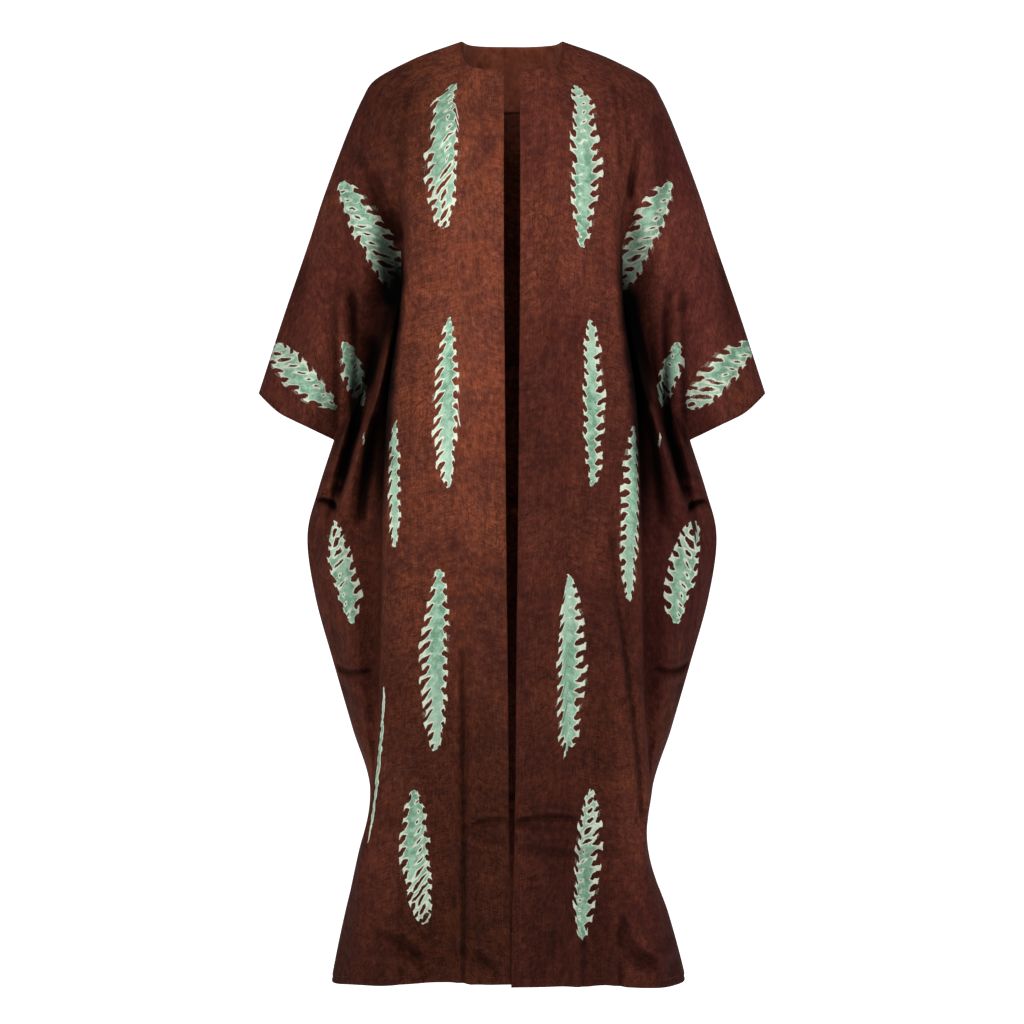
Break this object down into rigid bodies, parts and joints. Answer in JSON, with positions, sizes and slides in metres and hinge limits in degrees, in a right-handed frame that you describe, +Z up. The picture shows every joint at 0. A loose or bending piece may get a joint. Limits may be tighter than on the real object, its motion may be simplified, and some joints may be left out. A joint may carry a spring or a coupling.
{
  "type": "full-length open kimono robe",
  "caption": "Full-length open kimono robe of brown resist-dyed cotton with pale green leaf motifs, wide sleeves cut in one, hollow and hanging as worn.",
  "frame": {"origin": "middle of the shoulder line between the two neck points, where the wearer's shoulders hold the robe up", "axes": "+Z up along the hanging robe, -Y the way the wearer faces, +X the wearer's left"},
  "size_m": [0.76, 0.3196, 1.4025],
  "materials": {
    "dyed_cotton": "matt plain-woven cotton, mottled brown with fine crackle and pale mint leaf motifs edged in cream",
    "facing_cotton": "matt plain-woven cotton in plain reddish brown"
  },
  "bodies": {
    "root": {"front_right": "dyed_cotton", "front_left": "dyed_cotton", "back": "dyed_cotton", "back_neck_facing": "facing_cotton"}
  },
  "joints": []
}
